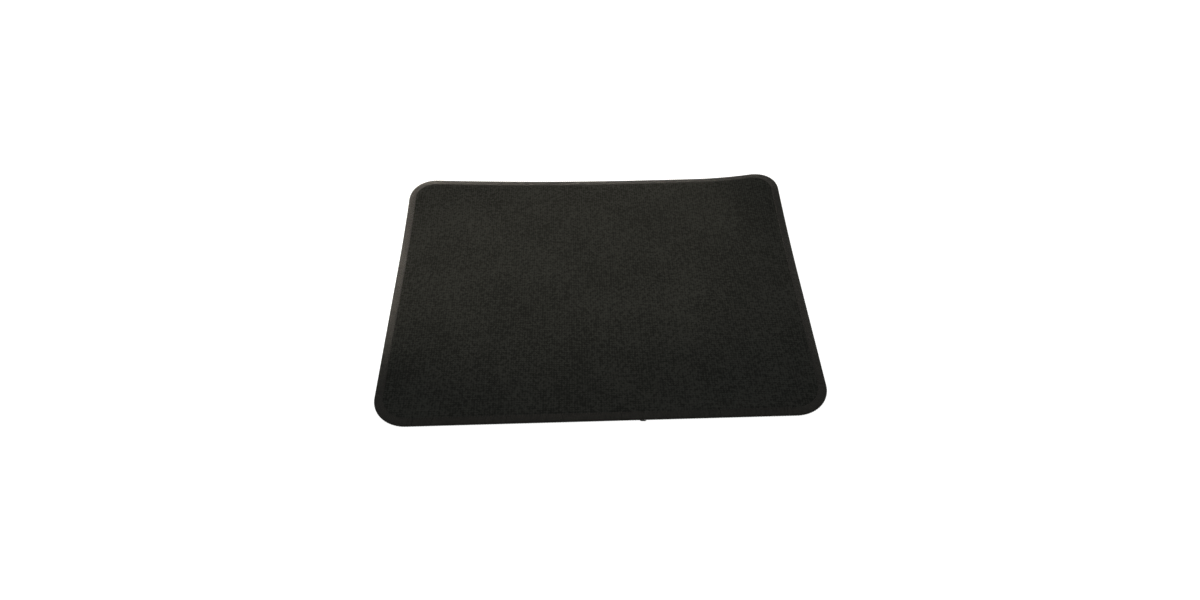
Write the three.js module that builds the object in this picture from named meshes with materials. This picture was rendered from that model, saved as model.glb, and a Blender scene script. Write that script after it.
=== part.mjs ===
// Stitched cloth mouse pad, 260 x 210 x 2 mm.
// A knitted face is bonded to a foamed rubber base, and a three-thread overlock binds the cut edge.
// Millimetres, +Z up. The pad lies on its base at z = 0 with its front edge towards -Y.
// Its two far corners have crept up from the table, as on a pad that was shipped rolled.

import * as THREE from 'three';

// Driving dimensions

const PAD_WIDTH = 260; // over the stitching
const PAD_DEPTH = 210; // over the stitching
const CORNER_RADIUS = 20.5; // over the stitching

const BASE_THICKNESS = 1.5;
const FILM_THICKNESS = 0.1;
const CLOTH_THICKNESS = 0.4;

const RIM_WIDTH = 4.4; // cut edge to needle line
const BASE_AT_NEEDLE = 0.6; // thickness to which the stitching squeezes the base at the needle line
const BASE_AT_EDGE = 0.25; // and at the cut edge
const UNDERSIDE_RISE = 0.05; // from the needle line out to the cut edge, underneath
const SHOULDER_WIDTH = 1.4; // over which the rim swells back to full thickness

const THREAD_THICKNESS = 0.3;
const THREAD_CLEARANCE = 0.12; // between a thread and whatever it lies on
const FLUSH_GAP = 0.06; // how far the threads underneath stay off the table
const STITCH_PITCH = 1.5;
const STITCHES_PER_RIB = 3; // stitches drawn together as one rib
const RIB_DEPTH = 0.12;
const RIB_SLANT = 1.6; // how far a rib runs along the edge on its way in to the needle line

const TAIL_DIAMETER = 0.7;
const TAIL_LENGTH = 3.4;
const TAIL_POSITION = 23; // along the front edge, right of its middle

const FAR_RIGHT_LIFT = 6.5; // at the corner of the bounding rectangle
const FAR_RIGHT_REACH_X = 60; // how far along each edge the lift is felt
const FAR_RIGHT_REACH_Y = 100;
const FAR_LEFT_LIFT = 6;
const FAR_LEFT_REACH_X = 165;
const FAR_LEFT_REACH_Y = 80;

// Fineness of the drawing

const SIDE_STEP = 12; // short enough for the layers to follow the curled corners
const CORNER_STEPS = 6;
const FIELD_RINGS = [0.8, 0.5]; // rings inside the shoulder, as shares of its size
const CORD_SIDES = 5;

// Values that follow from them

const PAD_THICKNESS = BASE_THICKNESS + FILM_THICKNESS + CLOTH_THICKNESS;
const THREAD_STACK = THREAD_THICKNESS + THREAD_CLEARANCE;
const UNDERSIDE_SQUEEZE = THREAD_STACK + FLUSH_GAP;
const TOP_SQUEEZE = BASE_THICKNESS - BASE_AT_NEEDLE - UNDERSIDE_SQUEEZE;
const TOP_FALL = BASE_AT_NEEDLE - BASE_AT_EDGE - UNDERSIDE_RISE;
const CUT_WIDTH = PAD_WIDTH - 2 * THREAD_STACK;
const CUT_DEPTH = PAD_DEPTH - 2 * THREAD_STACK;
const CUT_RADIUS = CORNER_RADIUS - THREAD_STACK;
const LOOPER_END = RIM_WIDTH - THREAD_THICKNESS - 2 * THREAD_CLEARANCE;

const CLOTH = { side: 1, atNeedle: TOP_SQUEEZE, toEdge: TOP_FALL };
const BASE = { side: -1, atNeedle: UNDERSIDE_SQUEEZE, toEdge: UNDERSIDE_RISE };

const UNDERSIDE = { height: 0, face: BASE };
const BASE_TOP = { height: BASE_THICKNESS, face: CLOTH };
const FILM_TOP = { height: BASE_THICKNESS + FILM_THICKNESS, face: CLOTH };
const CLOTH_TOP = { height: PAD_THICKNESS, face: CLOTH };

const CURLED_CORNERS = [
  { x: 1, y: 1, lift: FAR_RIGHT_LIFT, reachX: FAR_RIGHT_REACH_X, reachY: FAR_RIGHT_REACH_Y },
  { x: -1, y: 1, lift: FAR_LEFT_LIFT, reachX: FAR_LEFT_REACH_X, reachY: FAR_LEFT_REACH_Y },
];

// How far the pad stands off the table at a point

function liftAt(x, y) {
  let height = 0;
  for (const corner of CURLED_CORNERS) {
    const awayX = (PAD_WIDTH / 2 - corner.x * x) / corner.reachX;
    const awayY = (PAD_DEPTH / 2 - corner.y * y) / corner.reachY;
    height += corner.lift * Math.max(0, 1 - awayX - awayY) ** 2;
  }
  return height;
}

function laid(x, y, z) {
  return new THREE.Vector3(x, y, z + liftAt(x, y));
}

// The cut edge, walked once round with the pad on the left hand

function roundedRectangle(width, depth, radius) {
  const x = width / 2 - radius;
  const y = depth / 2 - radius;
  const path = new THREE.Path();
  path.moveTo(-x, -y - radius);
  path.lineTo(x, -y - radius);
  path.absarc(x, -y, radius, -Math.PI / 2, 0);
  path.lineTo(x + radius, y);
  path.absarc(x, y, radius, 0, Math.PI / 2);
  path.lineTo(-x, y + radius);
  path.absarc(-x, y, radius, Math.PI / 2, Math.PI);
  path.lineTo(-x - radius, -y);
  path.absarc(-x, -y, radius, Math.PI, 1.5 * Math.PI);
  return path;
}

const cutEdge = roundedRectangle(CUT_WIDTH, CUT_DEPTH, CUT_RADIUS);
const cutLength = cutEdge.getLength();

function station(point, tangent) {
  return { point, outward: new THREE.Vector2(tangent.y, -tangent.x) };
}

// A station at a distance along the edge, for the stitches
function stationAt(distance) {
  const share = THREE.MathUtils.euclideanModulo(distance / cutLength, 1);
  return station(cutEdge.getPoint(share), cutEdge.getTangent(share));
}

// Stations at the ends of every side and corner and at even steps between them, for the layers
function layerStations() {
  const stations = [];
  for (const curve of cutEdge.curves) {
    const steps = curve.isLineCurve ? Math.ceil(curve.getLength() / SIDE_STEP) : CORNER_STEPS;
    for (let step = 0; step < steps; step += 1) {
      stations.push(station(curve.getPointAt(step / steps), curve.getTangentAt(step / steps)));
    }
  }
  return stations;
}

// A point of the rim: an inset from the cut edge and a height above the table
function rimPoint({ point, outward }, inset, height) {
  return laid(point.x - outward.x * inset, point.y - outward.y * inset, height);
}

// How far a face of the pad is squeezed in at an inset from the cut edge
function squeezeAt(inset, face) {
  if (inset <= RIM_WIDTH) {
    return face.atNeedle + face.toEdge * (1 - Math.max(0, inset) / RIM_WIDTH);
  }
  return face.atNeedle * Math.max(0, 1 - (inset - RIM_WIDTH) / SHOULDER_WIDTH);
}

// Height of a surface of the laminate at an inset from the cut edge, where the pad lies flat
function heightAt(inset, { height, face }) {
  return height - face.side * squeezeAt(inset, face);
}

// Where the two looper threads meet on the edge
const EDGE_MIDDLE = (heightAt(0, CLOTH_TOP) + heightAt(0, UNDERSIDE)) / 2;

// Solids

function solid(points, triangles) {
  const geometry = new THREE.BufferGeometry();
  geometry.setFromPoints(points);
  geometry.setIndex(triangles);
  const facets = geometry.toNonIndexed();
  facets.computeVertexNormals();
  return facets;
}

// A layer of the laminate between two of its surfaces.
// Layers share their stations and rings, so two that meet lie face to face.
function layerSolid(low, high) {
  const stations = layerStations();
  const count = stations.length;
  const insets = [0, RIM_WIDTH, RIM_WIDTH + SHOULDER_WIDTH];
  const ringCount = insets.length + FIELD_RINGS.length;
  const faceSize = ringCount * count + 1;
  const points = [];
  for (const surface of [low, high]) {
    for (const inset of insets) {
      for (const place of stations) {
        points.push(rimPoint(place, inset, heightAt(inset, surface)));
      }
    }
    for (const share of FIELD_RINGS) {
      for (const place of stations) {
        const edge = rimPoint(place, RIM_WIDTH + SHOULDER_WIDTH, 0);
        points.push(laid(edge.x * share, edge.y * share, surface.height));
      }
    }
    points.push(laid(0, 0, surface.height));
  }

  const triangles = [];
  for (let k = 0; k < count; k += 1) {
    const next = (k + 1) % count;
    for (let ring = 0; ring + 1 < ringCount; ring += 1) {
      const outer = ring * count;
      const inner = outer + count;
      triangles.push(outer + k, inner + next, outer + next);
      triangles.push(outer + k, inner + k, inner + next);
      triangles.push(faceSize + outer + k, faceSize + outer + next, faceSize + inner + next);
      triangles.push(faceSize + outer + k, faceSize + inner + next, faceSize + inner + k);
    }
    const last = (ringCount - 1) * count;
    triangles.push(last + k, faceSize - 1, last + next);
    triangles.push(faceSize + last + k, faceSize + last + next, 2 * faceSize - 1);
    triangles.push(k, next, faceSize + next);
    triangles.push(k, faceSize + next, faceSize + k);
  }
  return solid(points, triangles);
}

// A thread run that closes on itself round the whole edge.
// Each ring lists the same corners of its section, clockwise as seen along the run.
function closedRun(rings) {
  const sides = rings[0].length;
  const triangles = [];
  for (let ring = 0; ring < rings.length; ring += 1) {
    const here = ring * sides;
    const ahead = ((ring + 1) % rings.length) * sides;
    for (let side = 0; side < sides; side += 1) {
      const turn = (side + 1) % sides;
      triangles.push(here + side, ahead + side, ahead + turn);
      triangles.push(here + side, ahead + turn, here + turn);
    }
  }
  return solid(rings.flat(), triangles);
}

// A looper thread over one face of the rim, from the needle line out and round to the middle of the edge
function looperSolid(surface) {
  const side = surface.face.side;
  const lie = (inset) => heightAt(inset, surface) + side * THREAD_CLEARANCE;
  const join = EDGE_MIDDLE + (side * THREAD_CLEARANCE) / 2;
  const ribCount = Math.round(cutLength / (STITCH_PITCH * STITCHES_PER_RIB));
  const rings = [];
  for (let step = 0; step < 2 * ribCount; step += 1) {
    const distance = (step * cutLength) / (2 * ribCount);
    const thread = THREAD_THICKNESS - (step % 2 === 0 ? 0 : RIB_DEPTH);
    const section = [
      [LOOPER_END, lie(LOOPER_END)],
      [-THREAD_CLEARANCE, lie(0)],
      [-THREAD_CLEARANCE - thread / 2, join],
      [-THREAD_CLEARANCE - thread, lie(0) + (side * thread) / 3],
      [LOOPER_END, lie(LOOPER_END) + side * thread],
    ];
    const ring = section.map(([inset, height]) => {
      const along = distance + (RIB_SLANT * Math.max(0, inset)) / RIM_WIDTH;
      return rimPoint(stationAt(along), inset, height);
    });
    rings.push(side > 0 ? ring : ring.reverse());
  }
  return closedRun(rings);
}

// The needle thread lies along the rim between the end of the upper looper and the shoulder
function needleSolid() {
  const radius = THREAD_THICKNESS / 2;
  const inset = RIM_WIDTH - THREAD_CLEARANCE - radius;
  const height = heightAt(inset, CLOTH_TOP) + THREAD_CLEARANCE + radius;
  const rings = layerStations().map((place) => {
    const ring = [];
    for (let side = 0; side < CORD_SIDES; side += 1) {
      const angle = (side * 2 * Math.PI) / CORD_SIDES;
      ring.push(rimPoint(place, inset + radius * Math.sin(angle), height + radius * Math.cos(angle)));
    }
    return ring;
  });
  return closedRun(rings);
}

// The trimmed end of the stitching lies along the front edge
function tailSolid() {
  const radius = TAIL_DIAMETER / 2;
  const geometry = new THREE.CapsuleGeometry(radius, TAIL_LENGTH - TAIL_DIAMETER, 3, 8);
  geometry.rotateZ(Math.PI / 2);
  geometry.translate(TAIL_POSITION, -PAD_DEPTH / 2 - THREAD_CLEARANCE - radius, EDGE_MIDDLE);
  return geometry;
}

// Assembly

const clothFinish = new THREE.MeshStandardMaterial({ color: '#2a2a26', roughness: 0.95, metalness: 0 });
const filmFinish = new THREE.MeshStandardMaterial({ color: '#c9c6bb', roughness: 0.5, metalness: 0 });
const rubberFinish = new THREE.MeshStandardMaterial({ color: '#1d1d1c', roughness: 0.85, metalness: 0 });
const threadFinish = new THREE.MeshStandardMaterial({ color: '#34332e', roughness: 0.7, metalness: 0 });

const group = new THREE.Group();
group.name = 'mouse_pad';

function add(name, geometry, finish) {
  const mesh = new THREE.Mesh(geometry, finish.clone());
  mesh.name = name;
  group.add(mesh);
}

add('rubber_base', layerSolid(UNDERSIDE, BASE_TOP), rubberFinish);
add('bond_film', layerSolid(BASE_TOP, FILM_TOP), filmFinish);
add('cloth_top', layerSolid(FILM_TOP, CLOTH_TOP), clothFinish);
add('upper_looper_thread', looperSolid(CLOTH_TOP), threadFinish);
add('lower_looper_thread', looperSolid(UNDERSIDE), threadFinish);
add('needle_thread', needleSolid(), threadFinish);
add('thread_tail', tailSolid(), threadFinish);

export default group;
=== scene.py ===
"""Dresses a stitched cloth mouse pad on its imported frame.

The pad is a knitted polyester face bonded to a foamed rubber base, with a three-thread overlock round the
cut edge. Sizes are in millimetres and become metres where a mesh, lamp, camera or pattern is made. +X runs
along the long side, +Y from the front edge to the far edge, +Z up from the table.
"""

import logging
import math
from dataclasses import dataclass
from enum import Enum

import bpy
import numpy as np
from mathutils import Matrix, Vector


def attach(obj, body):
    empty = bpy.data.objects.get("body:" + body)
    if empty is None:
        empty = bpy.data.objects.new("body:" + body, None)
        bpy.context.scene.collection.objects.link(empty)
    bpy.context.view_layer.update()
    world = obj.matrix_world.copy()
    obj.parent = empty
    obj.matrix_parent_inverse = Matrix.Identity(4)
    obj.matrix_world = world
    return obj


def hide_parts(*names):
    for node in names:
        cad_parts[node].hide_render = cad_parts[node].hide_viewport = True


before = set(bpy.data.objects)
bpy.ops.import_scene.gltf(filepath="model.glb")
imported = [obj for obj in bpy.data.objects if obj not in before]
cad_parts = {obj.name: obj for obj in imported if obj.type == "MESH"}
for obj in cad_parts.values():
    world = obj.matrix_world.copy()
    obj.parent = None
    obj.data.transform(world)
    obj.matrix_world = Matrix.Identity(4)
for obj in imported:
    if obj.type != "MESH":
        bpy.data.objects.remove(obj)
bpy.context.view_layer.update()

MM = 0.001
BODY = "root"
THREAD_UV = "thread"
# Length of one wave of the wave texture at scale 1; its diagonal waves are twice as long
WAVE_LENGTH = math.pi / 10

log = logging.getLogger("mouse_pad")


# Colours and nodes


def linear(hex_colour: str) -> tuple[float, float, float, float]:
    """Turns an sRGB hex colour into the linear colour that shaders take.

    Args:
        hex_colour: Colour written as "#rrggbb".

    Returns:
        Linear red, green and blue with an alpha of 1.
    """
    shares = [int(hex_colour[i : i + 2], 16) / 255 for i in (1, 3, 5)]
    red, green, blue = (s / 12.92 if s <= 0.04045 else ((s + 0.055) / 1.055) ** 2.4 for s in shares)
    return (red, green, blue, 1.0)


def add_node(tree: bpy.types.NodeTree, kind: str, settings: dict, inputs: dict) -> bpy.types.Node:
    """Adds a node with its settings and links.

    Args:
        tree: Node tree of a material or of the world.
        kind: Blender's node type.
        settings: Properties of the node itself.
        inputs: Sockets by name or number; an output socket is linked, any other value is set.

    Returns:
        The new node.
    """
    node = tree.nodes.new(kind)
    for name, value in settings.items():
        setattr(node, name, value)
    for key, value in inputs.items():
        if isinstance(value, bpy.types.NodeSocket):
            tree.links.new(value, node.inputs[key])
        else:
            node.inputs[key].default_value = value
    return node


def new_material(name: str) -> tuple[bpy.types.Material, bpy.types.NodeTree]:
    """Starts an empty material.

    Args:
        name: Name of the material.

    Returns:
        The material and its empty node tree.
    """
    material = bpy.data.materials.new(name)
    material.use_nodes = True
    material.node_tree.nodes.clear()
    return material, material.node_tree


# Finishes


@dataclass(frozen=True)
class Finish:
    """What the finishes share: two shades mixed by a pattern, and a fine relief. Where the pattern also
    raises the relief, the darker shade is painted shade in the hollows and the paler one a painted highlight
    on what stands up.

    Attributes:
        name: What the material is and how its surface was made.
        dark_tone_and_shade: Darker colour, partly tone at random and partly painted shade in the hollows.
        pale_tone_and_highlight: Paler colour, partly tone at random and partly a painted highlight on what
            stands up.
        ior: Index of refraction.
        roughness: Roughness of the surface.
        gloss: How strongly the surface reflects.
        relief: Height of the relief.
        tones: Tones of the pattern at which the darker and the paler colour are reached.
    """

    name: str
    dark_tone_and_shade: str
    pale_tone_and_highlight: str
    ior: float
    roughness: float
    gloss: float
    relief: float
    tones: tuple[float, float]

    def close(
        self,
        tree: bpy.types.NodeTree,
        tone: bpy.types.NodeSocket,
        height: bpy.types.NodeSocket,
        more: dict | None = None,
    ) -> None:
        """Mixes the two shades, adds the relief and ends the material.

        Args:
            tree: Node tree of the material.
            tone: Pattern that mixes the shades.
            height: Relief before it is scaled.
            more: Inputs of the shader that only this finish has.
        """
        # Where the tone also drives the relief, this mix paints shade into the hollows and a highlight onto
        # the crests
        low, high = self.tones
        span = {"Value": tone, "From Min": low, "From Max": high}
        share = add_node(tree, "ShaderNodeMapRange", {}, span).outputs["Result"]
        # Inputs 6 and 7 and output 2 of a mix node are its colours
        shades = {"Factor": share, 6: linear(self.dark_tone_and_shade), 7: linear(self.pale_tone_and_highlight)}
        colour = add_node(tree, "ShaderNodeMix", {"data_type": "RGBA"}, shades)
        bump = add_node(tree, "ShaderNodeBump", {}, {"Height": height, "Distance": self.relief * MM})
        looks = {
            "Base Color": colour.outputs[2],
            "Roughness": self.roughness,
            "IOR": self.ior,
            "Specular IOR Level": self.gloss,
            "Normal": bump.outputs["Normal"],
        }
        shader = add_node(tree, "ShaderNodeBsdfPrincipled", {}, looks | (more or {}))
        add_node(tree, "ShaderNodeOutputMaterial", {}, {"Surface": shader.outputs["BSDF"]})


@dataclass(frozen=True)
class KnittedPolyester(Finish):
    """Fine warp-knitted polyester, dyed black and heat set.

    The eye sees a matt dark grey with a fine uneven grain, and a soft bloom where fibre ends stand up.

    Attributes:
        loop_pitch: Distance between loops.
        loop_waver: How unevenly the loops lie.
        grain: Size of the uneven grain.
        patch: Size of the patches in which the nap lies one way.
        loop_shade_share: How much the loops count in the colour, where the grain counts as 1; it paints
            shade between the loops and a highlight on them.
        patch_share: How much the patches count in it.
        grain_height: How much the grain counts in the relief, where the loops count as 1.
        bloom: Colour of the bloom.
        sheen: Strength of the bloom.
        sheen_roughness: How softly the bloom spreads.
    """

    name: str = "polyester_knitted_heat_set"
    dark_tone_and_shade: str = "#1b1c1a"
    pale_tone_and_highlight: str = "#2e2f2c"
    ior: float = 1.57
    roughness: float = 0.95
    gloss: float = 0.01
    relief: float = 0.07
    tones: tuple[float, float] = (0.56, 0.82)
    # The real loops are about 0.5 mm apart, too fine to show, so they are drawn coarser
    loop_pitch: float = 1.5
    loop_waver: float = 1.4
    grain: float = 1.5
    patch: float = 38.0
    loop_shade_share: float = 0.25
    patch_share: float = 0.25
    grain_height: float = 1.5
    bloom: str = "#b9b2a4"
    sheen: float = 0.04
    sheen_roughness: float = 0.45

    def material(self) -> bpy.types.Material:
        """Makes the material.

        Returns:
            A material in object coordinates, so the grain keeps its size on every face.
        """
        material, tree = new_material(self.name)
        place = add_node(tree, "ShaderNodeTexCoord", {}, {}).outputs["Object"]
        knit = {
            "Vector": place,
            "Scale": WAVE_LENGTH / (self.loop_pitch * MM),
            "Distortion": self.loop_waver,
            "Detail": 1.0,
            "Detail Scale": 3.0,
        }
        wales = add_node(tree, "ShaderNodeTexWave", {"bands_direction": "X"}, knit)
        courses = add_node(tree, "ShaderNodeTexWave", {"bands_direction": "Y"}, knit)
        crossing = {0: wales.outputs["Fac"], 1: courses.outputs["Fac"]}
        loops = add_node(tree, "ShaderNodeMath", {"operation": "MULTIPLY"}, crossing).outputs["Value"]
        fine = {"Vector": place, "Scale": 1 / (self.grain * MM), "Detail": 2.0, "Roughness": 0.6}
        grain = add_node(tree, "ShaderNodeTexNoise", {}, fine).outputs["Fac"]
        broad = {"Vector": place, "Scale": 1 / (self.patch * MM), "Detail": 2.0}
        patches = add_node(tree, "ShaderNodeTexNoise", {}, broad).outputs["Fac"]

        # The loops paint shade between them and a highlight on them; the grain is tone at random that also
        # follows its own relief, and the patches are tone at random
        tone = grain
        for part, share in ((patches, self.patch_share), (loops, self.loop_shade_share)):
            parts = {0: part, 1: share, 2: tone}
            tone = add_node(tree, "ShaderNodeMath", {"operation": "MULTIPLY_ADD"}, parts).outputs["Value"]
        heights = {0: grain, 1: self.grain_height, 2: loops}
        height = add_node(tree, "ShaderNodeMath", {"operation": "MULTIPLY_ADD"}, heights)
        bloom = {
            "Sheen Weight": self.sheen,
            "Sheen Roughness": self.sheen_roughness,
            "Sheen Tint": linear(self.bloom),
        }
        self.close(tree, tone, height.outputs["Value"], bloom)
        return material


@dataclass(frozen=True)
class OverlockThread(Finish):
    """Textured polyester thread, two plies twisted together.

    The eye sees small slanted ridges along each thread and a faint lustre where the light strikes it.

    Attributes:
        ply_pitch: Distance between ridges along the thread.
        dye: Size of the uneven shades of the dye.
        ply_shade_share: How much the ridges count in the colour, where the dye counts as 1; it paints a
            highlight on the ridges and shade in the grooves.
    """

    name: str = "polyester_thread_twisted"
    dark_tone_and_shade: str = "#0f0f0d"
    pale_tone_and_highlight: str = "#1f1e19"
    ior: float = 1.57
    roughness: float = 0.55
    gloss: float = 0.115
    relief: float = 0.05
    tones: tuple[float, float] = (0.3, 1.0)
    ply_pitch: float = 0.9
    dye: float = 2.5
    ply_shade_share: float = 0.4

    def material(self) -> bpy.types.Material:
        """Makes the material.

        Returns:
            A material that follows each thread by its own coordinates.
        """
        material, tree = new_material(self.name)
        run = add_node(tree, "ShaderNodeUVMap", {"uv_map": THREAD_UV}, {}).outputs["UV"]
        in_plies = {"Vector": run, "Scale": (1 / self.ply_pitch, 1.0, 1.0)}
        turn = add_node(tree, "ShaderNodeMapping", {}, in_plies).outputs["Vector"]
        slanted = {"Vector": turn, "Scale": 2 * WAVE_LENGTH}
        plies = add_node(tree, "ShaderNodeTexWave", {"bands_direction": "DIAGONAL"}, slanted).outputs["Fac"]
        place = add_node(tree, "ShaderNodeTexCoord", {}, {}).outputs["Object"]
        uneven = {"Vector": place, "Scale": 1 / (self.dye * MM), "Detail": 3.0, "Roughness": 0.6}
        dye = add_node(tree, "ShaderNodeTexNoise", {}, uneven).outputs["Fac"]
        # The ridges, which also make the relief, paint the plies paler and the grooves darker; the dye's
        # shades are tone at random
        parts = {0: plies, 1: self.ply_shade_share, 2: dye}
        tone = add_node(tree, "ShaderNodeMath", {"operation": "MULTIPLY_ADD"}, parts).outputs["Value"]
        self.close(tree, tone, plies)
        return material


@dataclass(frozen=True)
class FoamRubber(Finish):
    """Foamed natural rubber, moulded against a dimpled belt.

    The eye sees a dull near-black skin with a fine cell grain and slightly paler tips, a painted highlight
    where the cells stand up.

    Attributes:
        cell: Size of the foam's cells.
        cloud: Size of the duller and glossier areas.
        cell_shade_share: How much the cells count in the colour, where the clouds count as 1; it paints the
            tips of the cells paler.
        roughness_spread: How far the roughness varies either way.
    """

    name: str = "natural_rubber_foamed_moulded"
    dark_tone_and_shade: str = "#151514"
    pale_tone_and_highlight: str = "#262624"
    ior: float = 1.52
    roughness: float = 0.78
    gloss: float = 0.3
    relief: float = 0.04
    tones: tuple[float, float] = (0.5, 1.1)
    cell: float = 0.6
    cloud: float = 45.0
    cell_shade_share: float = 0.6
    roughness_spread: float = 0.08

    def material(self) -> bpy.types.Material:
        """Makes the material.

        Returns:
            A material in object coordinates.
        """
        material, tree = new_material(self.name)
        place = add_node(tree, "ShaderNodeTexCoord", {}, {}).outputs["Object"]
        fine = {"Vector": place, "Scale": 1 / (self.cell * MM), "Detail": 2.0}
        cells = add_node(tree, "ShaderNodeTexNoise", {}, fine).outputs["Fac"]
        broad = {"Vector": place, "Scale": 1 / (self.cloud * MM), "Detail": 3.0}
        clouds = add_node(tree, "ShaderNodeTexNoise", {}, broad).outputs["Fac"]
        # The cells also make the relief, so their share of the colour is a painted highlight on the tips and
        # painted shade between them; the clouds are tone at random
        parts = {0: cells, 1: self.cell_shade_share, 2: clouds}
        tone = add_node(tree, "ShaderNodeMath", {"operation": "MULTIPLY_ADD"}, parts).outputs["Value"]
        glossy, dull = self.roughness - self.roughness_spread, self.roughness + self.roughness_spread
        rough = add_node(tree, "ShaderNodeMapRange", {}, {"Value": clouds, "To Min": glossy, "To Max": dull})
        self.close(tree, tone, cells, {"Roughness": rough.outputs["Result"]})
        return material


@dataclass(frozen=True)
class HotMeltFilm(Finish):
    """Milky hot-melt adhesive, pressed between the layers.

    It is hidden in the finished pad; where it shows, the eye sees a cloudy, slightly glossy skin.

    Attributes:
        cloud: Size of the clouds.
    """

    name: str = "hot_melt_adhesive_pressed"
    dark_tone_and_shade: str = "#bdb9ac"
    pale_tone_and_highlight: str = "#d6d3c8"
    ior: float = 1.49
    roughness: float = 0.45
    gloss: float = 0.5
    relief: float = 0.05
    tones: tuple[float, float] = (0.0, 1.0)
    cloud: float = 9.0

    def material(self) -> bpy.types.Material:
        """Makes the material.

        Returns:
            A material in object coordinates.
        """
        material, tree = new_material(self.name)
        place = add_node(tree, "ShaderNodeTexCoord", {}, {}).outputs["Object"]
        milky = {"Vector": place, "Scale": 1 / (self.cloud * MM), "Detail": 3.0}
        clouds = add_node(tree, "ShaderNodeTexNoise", {}, milky).outputs["Fac"]
        # The clouds tint the film and also raise its relief, so the paler colour is partly a painted
        # highlight on the raised clouds
        self.close(tree, clouds, clouds)
        return material


# Meshes


@dataclass
class MeshDraft:
    """Vertices in millimetres, faces, and for a thread its coordinates along and round it."""

    vertices: np.ndarray
    faces: list[list[int]]
    thread_uv: np.ndarray | None = None

    def joined(self, other: "MeshDraft") -> "MeshDraft":
        """Puts another draft beside this one.

        Args:
            other: Draft to add.

        Returns:
            A draft that holds both.
        """
        shift = len(self.vertices)
        faces = self.faces + [[v + shift for v in face] for face in other.faces]
        uv = None
        if self.thread_uv is not None and other.thread_uv is not None:
            uv = np.concatenate([self.thread_uv, other.thread_uv])
        return MeshDraft(np.concatenate([self.vertices, other.vertices]), faces, uv)

    def to_object(self, name: str) -> bpy.types.Object:
        """Makes a smooth-shaded Blender object of the draft.

        Args:
            name: Name of the object and its mesh.

        Returns:
            The object, linked to the scene.
        """
        mesh = bpy.data.meshes.new(name)
        mesh.from_pydata((self.vertices * MM).tolist(), [], self.faces)
        if self.thread_uv is not None:
            layer = mesh.uv_layers.new(name=THREAD_UV)
            layer.data.foreach_set("uv", self.thread_uv.astype(np.float32).ravel())
        mesh.shade_smooth()
        obj = bpy.data.objects.new(name, mesh)
        bpy.context.scene.collection.objects.link(obj)
        return obj


def unit(vectors: np.ndarray) -> np.ndarray:
    """Scales each row to length 1."""
    return vectors / np.linalg.norm(vectors, axis=-1, keepdims=True)


def thread_tube(
    path: np.ndarray,
    facing: np.ndarray,
    half_width: np.ndarray,
    half_height: np.ndarray,
    closed: bool,
    sides: int = 6,
) -> MeshDraft:
    """Sweeps a flattened round thread along a path.

    Args:
        path: Points of the thread's middle.
        facing: Directions away from what the thread lies on.
        half_width: Half the thread's width at each point.
        half_height: Half its height at each point.
        closed: True where the thread meets its own start.
        sides: Corners of the section.

    Returns:
        A draft with coordinates along the thread in millimetres and round it from 0 to 1.
    """
    count = len(path)
    ahead = np.roll(path, -1, axis=0)
    behind = np.roll(path, 1, axis=0)
    if not closed:
        ahead[-1] = path[-1]
        behind[0] = path[0]
    tangent = unit(ahead - behind)
    across = unit(np.cross(tangent, facing))
    upward = np.cross(across, tangent)
    angle = np.arange(sides) * 2 * math.pi / sides
    ring = across[:, None, :] * (half_width[:, None] * np.cos(angle))[..., None]
    ring = ring + upward[:, None, :] * (half_height[:, None] * np.sin(angle))[..., None]
    vertices = (path[:, None, :] + ring).reshape(-1, 3)
    steps = np.linalg.norm(np.roll(path, -1, axis=0) - path, axis=1)
    along = np.concatenate([[0.0], np.cumsum(steps)])
    faces: list[list[int]] = []
    uv: list[tuple[float, float]] = []
    for i in range(count if closed else count - 1):
        here = i * sides
        there = (i + 1) % count * sides
        for j in range(sides):
            k = (j + 1) % sides
            faces.append([here + j, there + j, there + k, here + k])
            low, high = j / sides, (j + 1) / sides
            uv += [(along[i], low), (along[i + 1], low), (along[i + 1], high), (along[i], high)]
    if not closed:
        last = (count - 1) * sides
        faces.append(list(range(sides)))
        faces.append([last + j for j in reversed(range(sides))])
        uv += [(along[0], 0.0)] * sides + [(along[count - 1], 0.0)] * sides
    return MeshDraft(vertices, faces, np.array(uv))


# Form of the pad


class Face(Enum):
    """The two faces of the pad, with the way each one looks along Z."""

    CLOTH = 1
    BASE = -1


@dataclass(frozen=True)
class Curl:
    """A corner that has crept up from the table and been drawn out a little.

    Attributes:
        side_x: 1 for the right side, -1 for the left.
        side_y: 1 for the far side, -1 for the front.
        lift: Height of the lift where the two sides would meet.
        reach_x: How far along the far or front side the lift is felt.
        reach_y: How far along the left or right side it is felt.
        draw: Share by which the corner is tighter than the plain radius.
    """

    side_x: int
    side_y: int
    lift: float
    reach_x: float
    reach_y: float
    draw: float


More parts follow.
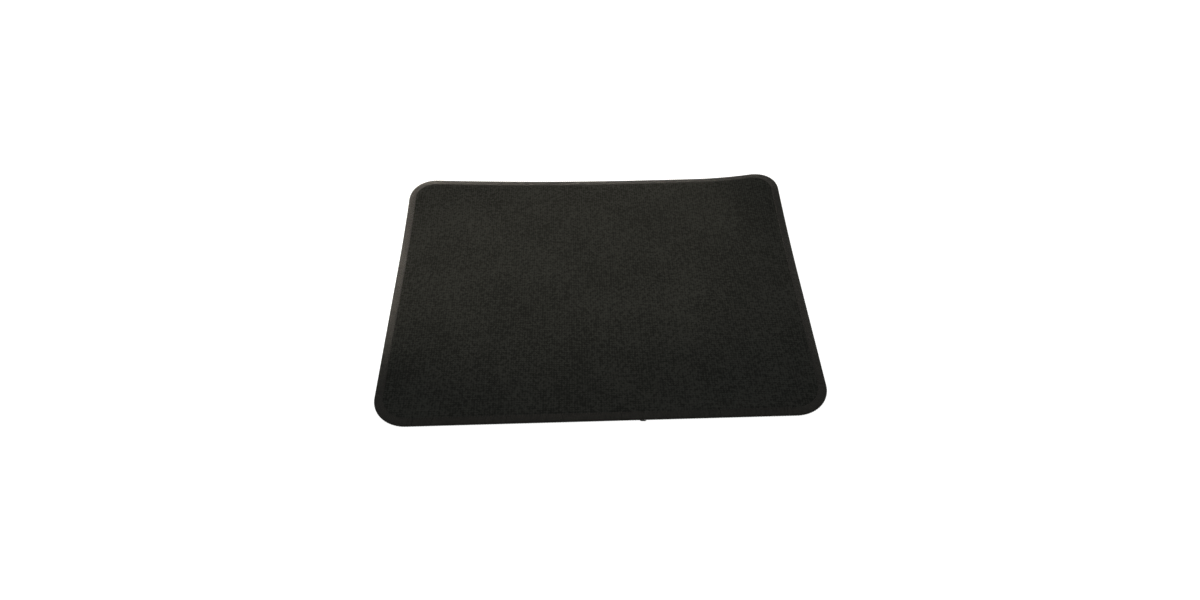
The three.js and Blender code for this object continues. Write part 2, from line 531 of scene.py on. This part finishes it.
@dataclass(frozen=True)
class PadForm:
    """Sizes that all the pieces share, in millimetres, and the curves that follow from them.

    Attributes:
        width: Length of the long sides over the stitching.
        depth: Length of the short sides over the stitching.
        corner_radius: Radius of the corners over the stitching.
        base_thickness: Thickness of the rubber base.
        film_thickness: Thickness of the adhesive film.
        cloth_thickness: Thickness of the knitted face.
        rim_width: Distance from the cut edge in to the needle line.
        cloth_rim_squeeze: How far the stitching pulls the cloth side in at the needle line.
        cloth_edge_squeeze: How much further it pulls it in at the edge.
        base_edge_squeeze: How much further it pulls the underside in at the edge.
        shoulder_width: Width over which the squeeze fades inside the needle line.
        thread_thickness: Thickness of a looper thread.
        thread_clearance: Room between the threads and what they bind.
        flush_gap: Room between the stitching and the table.
        stitch_pitch: Distance between stitches along the edge.
        stitch_slant: How far a loop runs along the edge on its way in to the needle line.
        draw_reach: How far from its tip a corner is drawn out.
        curls: Corners that have crept up from the table.
    """

    width: float = 260.0
    depth: float = 210.0
    corner_radius: float = 20.5
    base_thickness: float = 1.5
    film_thickness: float = 0.1
    cloth_thickness: float = 0.4
    rim_width: float = 4.4
    cloth_rim_squeeze: float = 0.42
    cloth_edge_squeeze: float = 0.3
    base_edge_squeeze: float = 0.05
    shoulder_width: float = 0.9
    thread_thickness: float = 0.3
    thread_clearance: float = 0.12
    flush_gap: float = 0.06
    stitch_pitch: float = 1.5
    stitch_slant: float = 1.0
    draw_reach: float = 70.0
    curls: tuple[Curl, ...] = (
        Curl(side_x=1, side_y=1, lift=6.5, reach_x=60.0, reach_y=100.0, draw=0.2),
        Curl(side_x=-1, side_y=1, lift=6.0, reach_x=165.0, reach_y=80.0, draw=0.18),
    )

    @property
    def thickness(self) -> float:
        """Thickness of the whole laminate."""
        return self.base_thickness + self.film_thickness + self.cloth_thickness

    @property
    def thread_stack(self) -> float:
        """How far the stitching stands out past the cut edge."""
        return self.thread_thickness + self.thread_clearance

    @property
    def base_rim_squeeze(self) -> float:
        """How far the stitching pulls the underside in, so that it stays clear of the table."""
        return self.thread_stack + self.flush_gap

    @property
    def edge_middle(self) -> float:
        """Height at which the two looper threads meet on the cut edge."""
        cloth = self.thickness - self.cloth_rim_squeeze - self.cloth_edge_squeeze
        return (cloth + self.base_rim_squeeze + self.base_edge_squeeze) / 2

    @property
    def cut_half(self) -> tuple[float, float]:
        """Half the width and depth of the laminate as it was cut."""
        return self.width / 2 - self.thread_stack, self.depth / 2 - self.thread_stack

    @property
    def cut_radius(self) -> float:
        """Corner radius of the laminate as it was cut."""
        return self.corner_radius - self.thread_stack

    @property
    def side_runs(self) -> tuple[float, float]:
        """Straight lengths of the long and the short sides."""
        half_x, half_y = self.cut_half
        return 2 * (half_x - self.cut_radius), 2 * (half_y - self.cut_radius)

    @property
    def edge_length(self) -> float:
        """Length of the cut edge, once round."""
        return 2 * sum(self.side_runs) + 2 * math.pi * self.cut_radius

    @property
    def stitch_count(self) -> int:
        """Whole number of stitches that go round the edge."""
        return round(self.edge_length / self.stitch_pitch)

    def lift(self, x: np.ndarray, y: np.ndarray) -> np.ndarray:
        """Gives how far the pad stands off the table.

        Args:
            x: Places across the pad.
            y: Places along it.

        Returns:
            A height for each place.
        """
        height = np.zeros_like(x)
        for curl in self.curls:
            away_x = (self.width / 2 - curl.side_x * x) / curl.reach_x
            away_y = (self.depth / 2 - curl.side_y * y) / curl.reach_y
            height = height + curl.lift * np.maximum(0.0, 1 - away_x - away_y) ** 2
        return height

    def laid(self, x: np.ndarray, y: np.ndarray, height: np.ndarray) -> np.ndarray:
        """Lays points of the flat pad as it lies on the table.

        Args:
            x: Places across the flat pad.
            y: Places along it.
            height: Heights above the table where the pad lies flat.

        Returns:
            Points in space, with the corners curled and drawn out.
        """
        out_x, out_y = x, y
        for curl in self.curls:
            away_x = self.width / 2 - curl.side_x * x
            away_y = self.depth / 2 - curl.side_y * y
            share = curl.draw * np.maximum(0.0, 1 - (away_x + away_y) / self.draw_reach) ** 2
            out_x = out_x + curl.side_x * share * away_x
            out_y = out_y + curl.side_y * share * away_y
        return np.stack([out_x, out_y, height + self.lift(x, y)], axis=-1)

    def edge(self, distance: np.ndarray) -> tuple[np.ndarray, np.ndarray]:
        """Walks the cut edge anticlockwise from the left end of the front side.

        Args:
            distance: Distances along the edge.

        Returns:
            Points on the edge and the outward directions there.
        """
        left = np.mod(distance, self.edge_length)
        point = np.zeros((len(left), 2))
        outward = np.zeros((len(left), 2))
        run_x, run_y = self.side_runs
        turn = math.pi / 2 * self.cut_radius
        for side, (sign_x, sign_y) in enumerate([(1, -1), (1, 1), (-1, 1), (-1, -1)]):
            run = run_x if side % 2 == 0 else run_y
            centre = np.array([sign_x * run_x / 2, sign_y * run_y / 2])
            heading = side * math.pi / 2
            here = (left >= 0) & (left <= run + turn)
            bend = heading + np.clip(left - run, 0.0, turn) / self.cut_radius
            normal = np.stack([np.sin(bend), -np.cos(bend)], axis=1)
            back = np.maximum(0.0, run - left)[:, None] * np.array([math.cos(heading), math.sin(heading)])
            point[here] = (centre + normal * self.cut_radius - back)[here]
            outward[here] = normal[here]
            left = np.where(here, -1.0, left - run - turn)
        return point, outward

    def squeeze(self, inset: np.ndarray, face: Face) -> np.ndarray:
        """Gives how far a face of the pad is pulled in by the stitching.

        Args:
            inset: Distances in from the cut edge.
            face: Face of the pad; the cloth side slopes more to the edge.

        Returns:
            A depth for each inset, which fades in a soft shoulder inside the needle line.
        """
        at_needle, to_edge = self.base_rim_squeeze, self.base_edge_squeeze
        if face is Face.CLOTH:
            at_needle, to_edge = self.cloth_rim_squeeze, self.cloth_edge_squeeze
        rim = at_needle + to_edge * (1 - np.maximum(0.0, inset) / self.rim_width)
        share = np.clip(1 - (inset - self.rim_width) / self.shoulder_width, 0.0, 1.0)
        return np.where(inset <= self.rim_width, rim, at_needle * share**2)

    def surface(self, inset: np.ndarray, face: Face) -> np.ndarray:
        """Gives the height of a face of the pad.

        Args:
            inset: Distances in from the cut edge.
            face: Face of the pad.

        Returns:
            Heights above the table where the pad lies flat.
        """
        if face is Face.CLOTH:
            return self.thickness - self.squeeze(inset, face)
        return self.squeeze(inset, face)

    def on_rim(self, distance: np.ndarray, inset: np.ndarray, height: np.ndarray) -> np.ndarray:
        """Places points of the stitched rim.

        Args:
            distance: Distances along the edge.
            inset: Distances in from it.
            height: Heights above the table where the pad lies flat.

        Returns:
            Points in space, with the corners curled and drawn out.
        """
        point, outward = self.edge(distance)
        flat = point - outward * inset[:, None]
        return self.laid(flat[:, 0], flat[:, 1], height)


@dataclass
class LayerGrid:
    """A grid over the laminate that is fine over the stitched rim and runs round the corners.

    Attributes:
        form: Sizes of the pad.
        cell: Size of the cells away from the edge.
        rim_cells: Number of cells across the rim.
        shoulder_cells: Number of cells across the soft shoulder inside it.
    """

    form: PadForm
    cell: float
    rim_cells: int = 4
    shoulder_cells: int = 5

    def lines(self, half: float) -> np.ndarray:
        """Places the grid lines of one side.

        Args:
            half: Half the length of the side.

        Returns:
            Places from one end to the other.
        """
        rim = self.form.rim_width
        shoulder = rim + self.form.shoulder_width
        over_rim = np.linspace(0.0, rim, self.rim_cells, endpoint=False)
        over_shoulder = np.linspace(rim, shoulder, self.shoulder_cells, endpoint=False)
        near = np.concatenate([over_rim, over_shoulder])
        steps = 2 * round((half - shoulder) / self.cell)
        middle = np.linspace(shoulder - half, half - shoulder, steps + 1)
        return np.concatenate([near - half, middle, (half - near)[::-1]])

    def points(self) -> tuple[np.ndarray, np.ndarray, np.ndarray]:
        """Places the grid points.

        Returns:
            Places across and along the pad, and their distances in from the cut edge.
        """
        half_x, half_y = self.form.cut_half
        radius = self.form.cut_radius
        x, y = np.meshgrid(self.lines(half_x), self.lines(half_y), indexing="ij")
        inset = np.minimum(half_x - np.abs(x), half_y - np.abs(y))
        over_x = np.abs(x) - half_x + radius
        over_y = np.abs(y) - half_y + radius
        corner = (over_x > 0) & (over_y > 0)
        pull = np.ones_like(x)
        pull[corner] = np.maximum(over_x, over_y)[corner] / np.hypot(over_x, over_y)[corner]
        x = np.where(corner, np.sign(x) * (half_x - radius + over_x * pull), x)
        y = np.where(corner, np.sign(y) * (half_y - radius + over_y * pull), y)
        return x, y, inset

    def solid(self, low: np.ndarray, high: np.ndarray) -> MeshDraft:
        """Makes a closed layer between two heights.

        Args:
            low: Heights of the lower surface at the grid points, where the pad lies flat.
            high: Heights of the upper surface.

        Returns:
            A draft of the layer, with the corners curled and drawn out.
        """
        x, y, _ = self.points()
        vertices = np.concatenate([self.form.laid(x, y, height).reshape(-1, 3) for height in (low, high)])
        columns, rows = x.shape
        index = np.arange(columns * rows).reshape(columns, rows)
        cells = [index[:-1, :-1], index[1:, :-1], index[1:, 1:], index[:-1, 1:]]
        quads = np.stack(cells, axis=-1).reshape(-1, 4)
        rim = np.concatenate([index[:-1, 0], index[-1, :-1], index[:0:-1, -1], index[0, :0:-1]])
        ahead = np.roll(rim, -1)
        top = columns * rows
        wall = np.stack([rim, ahead, ahead + top, rim + top], axis=-1)
        return MeshDraft(vertices, np.concatenate([quads[:, ::-1], quads + top, wall]).tolist())


# Pieces of the pad


@dataclass
class Piece:
    """A piece of the pad that stands for one solid of the frame.

    Attributes:
        form: Sizes of the pad.
        name: Name of the piece.
        node: Solid of the frame that it stands for.
        slot: Material slot of the record; not used.
    """

    form: PadForm
    name: str
    node: str
    slot: str

    def dress(self, obj: bpy.types.Object, material: bpy.types.Material) -> None:
        """Gives the piece its material and its place in the frame.

        Args:
            obj: Mesh of the piece.
            material: Its finish.
        """
        obj.data.materials.append(material)
        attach(obj, BODY)
        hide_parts(self.node)
        log.info("%s: %d faces of %s", obj.name, len(obj.data.polygons), material.name)


@dataclass
class RubberBase(Piece):
    """The foamed rubber base, with moulded pips underneath.

    Attributes:
        pip_pitch: Distance between pips.
        pip_depth: Depth of the hollows between them.
    """

    name: str = "foam_base"
    node: str = "rubber_base"
    slot: str = "foam_rubber"
    pip_pitch: float = 2.5
    pip_depth: float = 0.18

    def build(self) -> bpy.types.Object:
        """Builds the base with its pips touching the table.

        Returns:
            The base.
        """
        grid = LayerGrid(self.form, self.pip_pitch / 2)
        _, _, inset = grid.points()
        # The cells are half a pip wide, so every second point is the tip of a pip
        column, row = np.indices(inset.shape)
        tip = (column % 2 == 1) & (row % 2 == 1)
        start = self.form.rim_width + self.form.shoulder_width
        share = np.clip((inset - start) / self.pip_pitch, 0.0, 1.0)
        low = self.form.surface(inset, Face.BASE) + np.where(tip, 0.0, self.pip_depth * share)
        high = self.form.surface(inset, Face.CLOTH) - self.form.cloth_thickness - self.form.film_thickness
        return grid.solid(low, high).to_object(self.name)

    def dress(self, obj: bpy.types.Object, material: bpy.types.Material) -> None:
        """Gives the base its material and its place in the frame."""
        super().dress(obj, material)


@dataclass
class BondFilm(Piece):
    """The adhesive film between base and cloth.

    Attributes:
        cell: Size of its cells.
    """

    name: str = "adhesive_film"
    node: str = "bond_film"
    slot: str = "adhesive_film"
    cell: float = 6.0

    def build(self) -> bpy.types.Object:
        """Builds the film on the base.

        Returns:
            The film.
        """
        grid = LayerGrid(self.form, self.cell)
        _, _, inset = grid.points()
        high = self.form.surface(inset, Face.CLOTH) - self.form.cloth_thickness
        return grid.solid(high - self.form.film_thickness, high).to_object(self.name)


@dataclass
class ClothFace(Piece):
    """The knitted face, pulled down in a groove along the needle line.

    Attributes:
        cell: Size of its cells.
    """

    name: str = "knitted_face"
    node: str = "cloth_top"
    slot: str = "knitted_cloth"
    cell: float = 2.6

    def build(self) -> bpy.types.Object:
        """Builds the cloth on the film.

        Returns:
            The cloth.
        """
        grid = LayerGrid(self.form, self.cell)
        _, _, inset = grid.points()
        high = self.form.surface(inset, Face.CLOTH)
        return grid.solid(high - self.form.cloth_thickness, high).to_object(self.name)

    def dress(self, obj: bpy.types.Object, material: bpy.types.Material) -> None:
        """Gives the cloth its material and its place in the frame.

        Args:
            obj: Mesh of the cloth.
            material: Its finish.
        """
        super().dress(obj, material)


@dataclass
class LooperThread(Piece):
    """A looper thread, in hairpin loops from the needle line over one face of the rim to its edge.

    Attributes:
        face: Face of the pad that it covers.
        seed: Seed of the small differences between stitches.
        half_width: Half the width of the thread, which lies flattened.
        sway: Spread of the stitches along the edge, as a share of their pitch.
        swell: Spread of their heights.
        inner_insets: Places at the inner end of a loop, in from the needle line.
        rim_shares: Places further out, as shares of the rim's width.
        rises: Heights of all these places over the face, in half thicknesses of the thread.
        edge_stands: Distances out from the cut edge of the places at the outer end.
        edge_shares: Their heights over the middle of the edge, as shares of the way up to the face.
        edge_rise: Extra height of the first of them, in half thicknesses of the thread.
        leg_shares: Places along a leg of a loop, as shares of the way from tip to tip.
        slope_step: Step over which the slope of the line is taken, as a share of its length.
    """

    slot: str = "edge_thread"
    face: Face = Face.CLOTH
    seed: int = 3
    half_width: float = 0.36
    sway: float = 0.04
    swell: float = 0.02
    inner_insets: tuple[float, ...] = (0.5, 0.35, -0.4)
    rim_shares: tuple[float, ...] = (0.42, 0.14)
    rises: tuple[float, ...] = (-0.4, 1.1, 1.5, 1.4, 1.2)
    edge_stands: tuple[float, ...] = (0.06, 0.28, 0.31)
    edge_shares: tuple[float, ...] = (1.0, 0.5, -0.35)
    edge_rise: float = 0.3
    leg_shares: tuple[float, ...] = (0.22, 0.42, 0.6, 0.72, 0.84)
    slope_step: float = 0.04

    def section(self) -> np.ndarray:
        """Gives the line of the thread across the rim, from the needle line to the edge.

        Returns:
            Insets from the cut edge and heights above the table.
        """
        form = self.form
        half = form.thread_thickness / 2
        side = self.face.value
        inner = form.rim_width + np.array(self.inner_insets)
        inset = np.concatenate([inner, form.rim_width * np.array(self.rim_shares)])
        lie = form.surface(np.minimum(inset, form.rim_width), self.face)
        over = np.column_stack([inset, lie + side * half * np.array(self.rises)])
        middle = form.edge_middle
        reach = abs(float(form.surface(np.zeros(1), self.face)[0]) - middle)
        heights = middle + side * reach * np.array(self.edge_shares)
        heights[0] += side * half * self.edge_rise
        return np.concatenate([over, np.column_stack([-np.array(self.edge_stands), heights])])

    def build(self) -> bpy.types.Object:
        """Builds one unbroken thread, once round the pad.

        Returns:
            The thread.
        """
        form = self.form
        side = self.face.value
        count = form.stitch_count
        pitch = form.edge_length / count
        insets, heights = self.section().T
        steps = np.hypot(np.diff(insets), np.diff(heights))
        share = np.concatenate([[0.0], np.cumsum(steps)]) / steps.sum()

        # The legs of a loop lie a quarter of the pitch to either side of its round tips
        quarter = 1 / 4
        bend = np.radians(np.arange(-90, 91, 45))
        tips = quarter * pitch / steps.sum() * (1 - np.cos(bend))
        swing = quarter * np.sin(bend)
        leg = np.array(self.leg_shares)
        reach = np.concatenate([tips, leg, 1 - tips, leg[::-1]])
        out, back = np.full(len(leg), quarter), np.full(len(leg), 3 * quarter)
        phase = np.concatenate([swing, out, 2 * quarter + swing, back])
        phase = phase + (0.0 if self.face is Face.CLOTH else 2 * quarter)

        random = np.random.default_rng(self.seed)
        sway = random.normal(0.0, self.sway, count)[:, None]
        swell = random.normal(0.0, self.swell, count)[:, None]
        inset = np.interp(reach, share, insets)
        lean = form.stitch_slant * np.maximum(0.0, inset) / form.rim_width
        distance = ((np.arange(count)[:, None] + phase + sway) * pitch + lean).ravel()
        height = np.interp(reach, share, heights) + side * swell * np.sin(math.pi * reach)
        path = form.on_rim(distance, np.tile(inset, count), height.ravel())

        ahead = np.minimum(1.0, reach + self.slope_step)
        behind = np.maximum(0.0, reach - self.slope_step)
        over = np.interp(ahead, share, insets) - np.interp(behind, share, insets)
        down = np.interp(ahead, share, heights) - np.interp(behind, share, heights)
        _, outward = form.edge(distance)
        level = outward * np.tile(down, count)[:, None]
        facing = unit(-side * np.column_stack([level, np.tile(over, count)]))
        width = np.full(len(path), self.half_width)
        thick = np.full(len(path), form.thread_thickness / 2)
        return thread_tube(path, facing, width, thick, closed=True).to_object(self.name)


@dataclass
class NeedleThread(Piece):
    """The needle thread: a row of short stitches that holds the loops down, on the cloth and underneath.

    Attributes:
        radius: Half the width of the thread.
        tuck: How far the row lies outside the needle line.
        stitch_shares: Places along a stitch, as shares of the pitch.
        rises: Heights of these places over the face, in half thicknesses of a looper thread.
    """

    name: str = "needle_stitches"
    node: str = "needle_thread"
    slot: str = "edge_thread"
    radius: float = 0.14
    tuck: float = 0.1
    stitch_shares: tuple[float, ...] = (-0.5, -0.38, -0.25, 0.0, 0.25, 0.38)
    rises: tuple[float, ...] = (-1.5, 0.7, 2.0, 2.15, 2.0, 0.7)

    def row(self, face: Face) -> MeshDraft:
        """Runs the thread along one face, over the loops and down between them.

        Args:
            face: Face of the pad.

        Returns:
            A draft of the thread on that face.
        """
        form = self.form
        count = form.stitch_count
        pitch = form.edge_length / count
        phase = np.array(self.stitch_shares) + (0.0 if face is Face.CLOTH else 0.5)
        rise = form.thread_thickness / 2 * np.array(self.rises)
        inset = np.full(count * len(phase), form.rim_width - self.tuck)
        distance = ((np.arange(count)[:, None] + phase) * pitch + form.stitch_slant).ravel()
        heights = form.surface(inset, face) + face.value * np.tile(rise, count)
        path = form.on_rim(distance, inset, heights)
        facing = np.tile(np.array([0.0, 0.0, float(face.value)]), (len(path), 1))
        size = np.full(len(path), self.radius)
        return thread_tube(path, facing, size, size, closed=True)

    def build(self) -> bpy.types.Object:
        """Builds both rows as one thread."""
        return self.row(Face.CLOTH).joined(self.row(Face.BASE)).to_object(self.name)


@dataclass
class ThreadTail(Piece):
    """The trimmed end of the stitching: twisted strands with loose tips along the front edge.

    Attributes:
        position: Middle of the tail, right of the middle of the front edge.
        length: Length of the tail.
        diameter: Width over the strands.
        strands: Number of strands.
        stagger: Share by which each strand was cut shorter than the one before.
        points: Points along a strand.
        sides: Corners of its section.
        turns: Turns of the twist.
        twist_share: Radius of the twist, as a share of half the diameter.
        strand_share: Radius of a strand, as a share of half the diameter.
        loose_from: Place along the tail where the strands begin to part.
        loosening: How fast they part.
        tuck_share: Share of the tail that comes out of the stitching.
        tuck: How far inside the stitching it starts.
        droop: How far the tip hangs down.
        taper_from: Place along the tail where the strands begin to thin.
        taper: How fast they thin.
    """

    name: str = "trimmed_tail"
    node: str = "thread_tail"
    slot: str = "edge_thread"
    position: float = 23.0
    length: float = 3.4
    diameter: float = 0.7
    strands: int = 3
    stagger: float = 0.05
    points: int = 25
    sides: int = 7
    turns: float = 2.2
    twist_share: float = 0.48
    strand_share: float = 0.5
    loose_from: float = 0.75
    loosening: float = 0.7
    tuck_share: float = 0.18
    tuck: float = 0.5
    droop: float = 0.25
    taper_from: float = 0.9
    taper: float = 4.0

    def strand(self, number: int) -> MeshDraft:
        """Twists one strand.

        Args:
            number: Number of the strand, from 0.

        Returns:
            A draft of the strand.
        """
        half = self.diameter / 2
        front = -self.form.depth / 2 - self.form.thread_clearance - half
        share = np.linspace(0.0, 1.0, self.points)
        turn = 2 * math.pi * (number / self.strands + share * self.turns)
        loose = 1 + self.loosening * np.maximum(0.0, share - self.loose_from)
        twist = self.twist_share * half * loose
        x = self.position - self.length / 2 + self.length * share * (1 - self.stagger * number)
        tuck = self.tuck * np.maximum(0.0, self.tuck_share - share) / self.tuck_share
        y = front + twist * np.cos(turn) + tuck
        z = self.form.edge_middle + twist * np.sin(turn) - self.droop * share**2
        facing = np.column_stack([np.zeros_like(turn), -np.cos(turn), np.sin(turn)])
        size = self.strand_share * half * (1 - self.taper * np.maximum(0.0, share - self.taper_from))
        return thread_tube(np.column_stack([x, y, z]), facing, size, size, closed=False, sides=self.sides)

    def build(self) -> bpy.types.Object:
        """Builds the strands.

        Returns:
            The tail.
        """
        tail = self.strand(0)
        for number in range(1, self.strands):
            tail = tail.joined(self.strand(number))
        return tail.to_object(self.name)


# Studio


@dataclass(frozen=True)
class PhotoCamera:
    """The camera of the photograph, fitted to the pad's outline.

    Attributes:
        yaw: Turn about the vertical, in degrees.
        pitch: Height over the horizon, in degrees.
        roll: Tilt of the image, in degrees.
        target: Point in the middle of the image.
        distance: Distance from the target.
        focal_pixels: Focal length in pixels of the photograph.
        image_width: Width of the photograph in pixels.
        sensor_width: Width of the sensor.
        clip_start: Nearest distance that is drawn.
    """

    yaw: float = -0.912
    pitch: float = 46.792
    roll: float = -0.884
    target: tuple[float, float, float] = (1.43, -11.27, 0.0)
    distance: float = 560.8
    focal_pixels: float = 886.5
    image_width: int = 1200
    sensor_width: float = 36.0
    clip_start: float = 10.0

    def place(self) -> bpy.types.Object:
        """Places the camera.

        Returns:
            The scene's camera.
        """
        yaw, pitch, roll = (math.radians(angle) for angle in (self.yaw, self.pitch, self.roll))
        right = Vector((math.cos(yaw), math.sin(yaw), 0.0))
        ahead = Vector((-math.sin(yaw), math.cos(yaw), 0.0))
        back = Vector((0.0, 0.0, math.sin(pitch))) - ahead * math.cos(pitch)
        up = back.cross(right)
        across = right * math.cos(roll) + up * math.sin(roll)
        upright = up * math.cos(roll) - right * math.sin(roll)
        data = bpy.data.cameras.new("photo_camera")
        data.sensor_fit = "HORIZONTAL"
        data.sensor_width = self.sensor_width
        data.lens = self.focal_pixels / self.image_width * self.sensor_width
        data.clip_start = self.clip_start * MM
        camera = bpy.data.objects.new("photo_camera", data)
        turn = Matrix((across, upright, back)).transposed()
        eye = (Vector(self.target) + back * self.distance) * MM
        camera.matrix_world = Matrix.Translation(eye) @ turn.to_4x4()
        bpy.context.scene.collection.objects.link(camera)
        bpy.context.scene.camera = camera
        return camera


@dataclass(frozen=True)
class SpotLamp:
    """A studio spot whose beam ends softly.

    Attributes:
        name: Name of the lamp.
        place: Where it hangs.
        aim: Where the middle of the beam falls.
        beam: Full angle of the beam in degrees.
        softness: Share of the beam over which it fades.
        power: Power in watts.
        radius: Radius of the glowing disc.
        colour: Colour of the light, a little warmer than the room.
    """

    name: str
    place: tuple[float, float, float]
    aim: tuple[float, float, float]
    beam: float
    softness: float
    power: float
    radius: float = 5.0
    colour: str = "#fff4e3"

    def hang(self) -> bpy.types.Object:
        """Hangs the lamp.

        Returns:
            The lamp.
        """
        data = bpy.data.lights.new(self.name, "SPOT")
        data.shadow_soft_size = self.radius * MM
        data.spot_size = math.radians(self.beam)
        data.spot_blend = self.softness
        data.energy = self.power
        data.color = linear(self.colour)[:3]
        lamp = bpy.data.objects.new(self.name, data)
        lamp.location = Vector(self.place) * MM
        lamp.rotation_euler = (lamp.location - Vector(self.aim) * MM).to_track_quat("Z", "Y").to_euler()
        bpy.context.scene.collection.objects.link(lamp)
        return lamp


@dataclass(frozen=True)
class Studio:
    """A pale floor, a white surround and low light from behind, most of it from the left.

    Attributes:
        floor_size: Length and width of the floor.
        floor_colour: Colour of the floor where it lights the pad.
        surround: Colour of the surround and of the floor as they are seen.
        front_light: Strength of the room's light from the front.
        back_light: Strength of the room's light from behind.
        white_share: How much white the floor adds where it is seen.
        key: Lamp behind the left side.
        back: Lamp behind the far side.
        side: Lamp behind the right side.
    """

    floor_size: float = 6000.0
    floor_colour: str = "#b8b8b5"
    surround: str = "#ffffff"
    front_light: float = 0.35
    back_light: float = 0.8
    white_share: float = 0.9
    # The beams end over the front of the pad, which lies in the room's light alone
    key: SpotLamp = SpotLamp(
        name="key_spot",
        place=(-328.0, 484.0, 136.0),
        aim=(-257.0, 380.0, 0.0),
        beam=73.3,
        softness=0.079,
        power=15.6,
    )
    back: SpotLamp = SpotLamp(
        name="back_spot",
        place=(-60.0, 780.0, 180.0),
        aim=(-55.1, 790.0, 0.0),
        beam=162.8,
        softness=0.019,
        power=12.4,
    )
    side: SpotLamp = SpotLamp(
        name="side_spot",
        place=(551.0, 551.0, 180.0),
        aim=(535.6, 569.1, 0.0),
        beam=158.3,
        softness=0.02,
        power=4.6,
    )

    def seen_directly(self, tree: bpy.types.NodeTree) -> bpy.types.NodeSocket:
        """Tells rays that see the background from rays that only light the pad.

        Args:
            tree: Node tree of the floor or the world.

        Returns:
            1 for a ray from the camera, off gloss or through glass, otherwise 0.
        """
        ray = add_node(tree, "ShaderNodeLightPath", {}, {})
        seen = ray.outputs["Is Camera Ray"]
        for kind in ("Is Glossy Ray", "Is Transmission Ray"):
            either = {0: seen, 1: ray.outputs[kind]}
            seen = add_node(tree, "ShaderNodeMath", {"operation": "MAXIMUM"}, either).outputs["Value"]
        return seen

    def lay_floor(self) -> bpy.types.Object:
        """Lays the floor that the pad lies on.

        Returns:
            The floor.
        """
        half = self.floor_size / 2
        corners = np.array([(-half, -half, 0.0), (half, -half, 0.0), (half, half, 0.0), (-half, half, 0.0)])
        floor = MeshDraft(corners, [[0, 1, 2, 3]]).to_object("studio_floor")
        material, tree = new_material("paper_backdrop_matt")
        paper = add_node(tree, "ShaderNodeBsdfDiffuse", {}, {"Color": linear(self.floor_colour)})
        shares = {0: self.seen_directly(tree), 1: self.white_share}
        share = add_node(tree, "ShaderNodeMath", {"operation": "MULTIPLY"}, shares).outputs["Value"]
        white = add_node(tree, "ShaderNodeEmission", {}, {"Color": linear(self.surround), "Strength": share})
        both = {0: paper.outputs["BSDF"], 1: white.outputs["Emission"]}
        shader = add_node(tree, "ShaderNodeAddShader", {}, both).outputs["Shader"]
        add_node(tree, "ShaderNodeOutputMaterial", {}, {"Surface": shader})
        floor.data.materials.append(material)
        return floor

    def light(self) -> None:
        """Sets the white surround and hangs the lamps."""
        world = bpy.data.worlds.new("white_surround")
        bpy.context.scene.world = world
        world.use_nodes = True
        tree = world.node_tree
        tree.nodes.clear()
        place = add_node(tree, "ShaderNodeTexCoord", {}, {}).outputs["Generated"]
        heading = add_node(tree, "ShaderNodeSeparateXYZ", {}, {"Vector": place}).outputs["Y"]
        span = {"Value": heading, "From Min": -1.0, "To Min": self.front_light, "To Max": self.back_light}
        room = add_node(tree, "ShaderNodeMapRange", {}, span).outputs["Result"]
        lit_or_seen = {"Value": self.seen_directly(tree), "To Min": room, "To Max": 1.0}
        strength = add_node(tree, "ShaderNodeMapRange", {}, lit_or_seen).outputs["Result"]
        white = {"Color": linear(self.surround), "Strength": strength}
        surround = add_node(tree, "ShaderNodeBackground", {}, white).outputs["Background"]
        add_node(tree, "ShaderNodeOutputWorld", {}, {"Surface": surround})
        for lamp in (self.key, self.back, self.side):
            lamp.hang()


def main() -> None:
    """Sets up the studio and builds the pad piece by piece."""
    logging.basicConfig(level=logging.INFO, format="%(name)s: %(message)s")
    bpy.context.scene.view_settings.view_transform = "Standard"
    studio = Studio()
    studio.light()
    studio.lay_floor()
    PhotoCamera().place()

    form = PadForm()
    thread = OverlockThread().material()
    pieces = (
        (RubberBase(form), FoamRubber().material()),
        (BondFilm(form), HotMeltFilm().material()),
        (ClothFace(form), KnittedPolyester().material()),
        (LooperThread(form, "upper_looper", "upper_looper_thread", face=Face.CLOTH, seed=3), thread),
        (LooperThread(form, "lower_looper", "lower_looper_thread", face=Face.BASE, seed=5), thread),
        (NeedleThread(form), thread),
        (ThreadTail(form), thread),
    )
    for piece, material in pieces:
        piece.dress(piece.build(), material)


if __name__ == "__main__":
    main()
